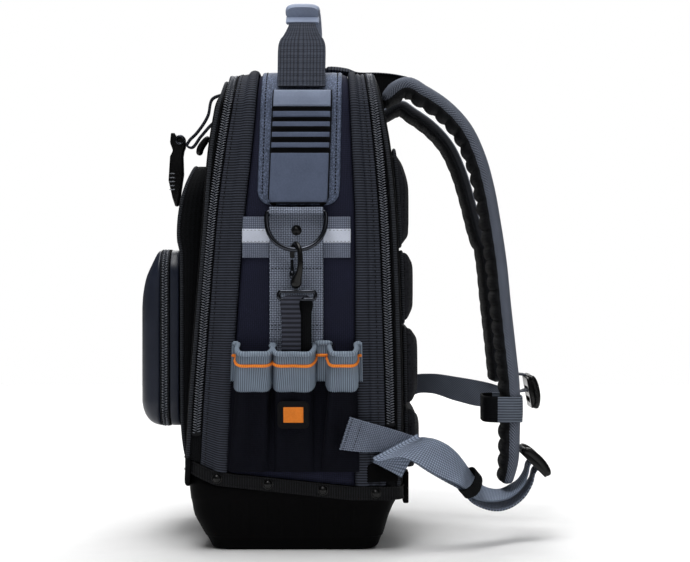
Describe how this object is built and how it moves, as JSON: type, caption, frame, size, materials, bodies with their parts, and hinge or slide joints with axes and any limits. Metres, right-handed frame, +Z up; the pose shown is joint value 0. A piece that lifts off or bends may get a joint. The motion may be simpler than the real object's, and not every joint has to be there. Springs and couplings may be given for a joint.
{
  "type": "tool backpack",
  "caption": "Upright tool backpack on a moulded base, with zipped compartments, moulded front case, pleated side pockets, carry handle, ring with snap hook and padded shoulder straps.",
  "frame": {"origin": "middle of the footprint, on the flat underside of the moulded base", "axes": "+Z up, -Y to the moulded front case, +Y to the shoulder straps, +X to the side with the ring and hook"},
  "size_m": [0.3501, 0.4084, 0.535],
  "materials": {
    "navy_cloth": "heavy plain-weave nylon, matte",
    "black_cloth": "ribbed nylon, matte",
    "bright_tape": "bright silver tape on grey webbing",
    "grey_webbing": "ribbed nylon webbing",
    "dark_webbing": "ribbed nylon webbing",
    "elastic": "ribbed elastic, matte",
    "strap_cloth": "twill cover with a mesh inner face",
    "black_plastic": "moulded, satin",
    "moulded_foam": "moulded laminated foam, soft sheen",
    "grained_patch": "grained, matte",
    "slate_rubber": "matte",
    "orange_rubber": "matte",
    "gunmetal": "dark plated steel"
  },
  "bodies": {
    "pack": {"base_tray": "black_plastic", "base_band": "black_cloth", "rivet_right_1": "black_plastic", "rivet_right_2": "black_plastic", "rivet_right_3": "black_plastic", "rivet_right_4": "black_plastic", "rivet_left_1": "black_plastic", "rivet_left_2": "black_plastic", "rivet_left_3": "black_plastic", "rivet_left_4": "black_plastic", "centre_panel": "navy_cloth", "front_gusset": "black_cloth", "back_gusset": "black_cloth", "front_zip": "black_plastic", "back_zip": "black_plastic", "front_cover": "black_cloth", "back_cover": "black_cloth", "top_patch": "grained_patch", "upper_pocket": "navy_cloth", "pod_base": "moulded_foam", "pod_zip": "black_plastic", "pod_lid": "moulded_foam", "back_pad_1": "black_cloth", "back_pad_2": "black_cloth", "back_pad_3": "black_cloth", "back_pad_4": "black_cloth", "handle_plate_right": "slate_rubber", "handle_plate_left": "slate_rubber", "handle_strap": "dark_webbing", "handle_grip": "slate_rubber", "bright_strip_right": "bright_tape", "bright_strip_left": "bright_tape", "side_webbing_right": "grey_webbing", "side_webbing_left": "grey_webbing", "d_ring": "gunmetal", "snap_hook": "black_plastic", "hook_eye": "gunmetal", "lanyard": "dark_webbing", "side_pockets_right": "navy_cloth", "side_pockets_left": "navy_cloth", "pocket_trim_right": "elastic", "pocket_trim_left": "elastic", "pocket_tag": "orange_rubber", "shoulder_pad_right": "strap_cloth", "shoulder_pad_left": "strap_cloth", "load_lifter_right": "dark_webbing", "load_lifter_left": "dark_webbing", "ladder_lock_right": "black_plastic", "ladder_lock_left": "black_plastic", "keeper_right": "elastic", "lower_webbing_right": "grey_webbing", "webbing_tail_right": "grey_webbing", "lower_webbing_left": "grey_webbing", "lock_tab_left": "dark_webbing", "corner_tab_right": "black_cloth", "corner_tab_left": "black_cloth", "back_tongue": "black_cloth", "tether_strap": "black_cloth", "tether_clip": "black_plastic"},
    "gate": {"hook_gate": "gunmetal"}
  },
  "joints": [
    {"name": "hook_gate_hinge", "type": "hinge", "parent": "pack", "child": "gate", "pos_m": [0.1603, -0.0038, 0.261], "axis": [-0.5, 0.866, 0], "range_deg": [0, 25], "stiffness_Nm_per_rad": 0.02}
  ]
}
